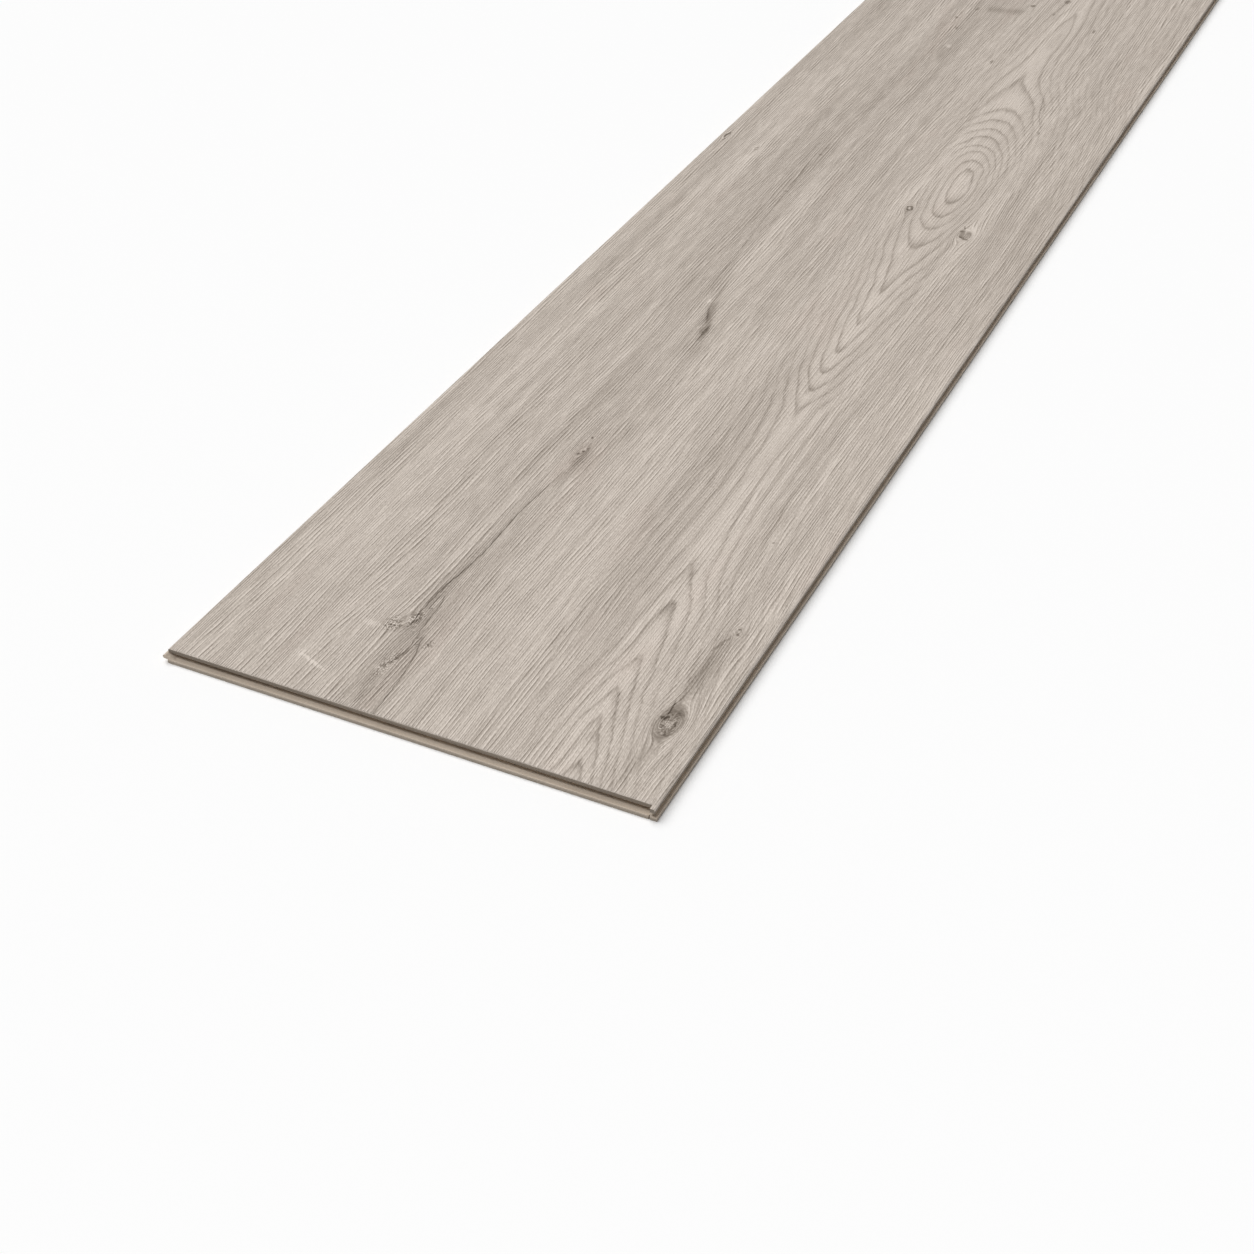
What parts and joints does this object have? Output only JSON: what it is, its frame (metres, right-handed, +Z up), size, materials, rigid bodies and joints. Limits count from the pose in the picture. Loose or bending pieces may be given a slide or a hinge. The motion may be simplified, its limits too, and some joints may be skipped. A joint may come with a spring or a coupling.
{
  "type": "vinyl floor plank",
  "caption": "Rigid-core vinyl floor plank with greige oak decor and click edges: groove and lower lip on a long side and an end, tongue on the opposite side and end.",
  "frame": {"origin": "centre of the laid size on the underside, half way between the joint lines both ways", "axes": "+Y along the plank from its grooved end to its tongued end, +X across it towards its grooved long side, +Z up out of the decor face"},
  "size_m": [0.1817, 1.2238, 0.0045],
  "materials": {
    "vinyl": "matte embossed decor over a beige core"
  },
  "bodies": {
    "root": {"plank": "vinyl"}
  },
  "joints": []
}
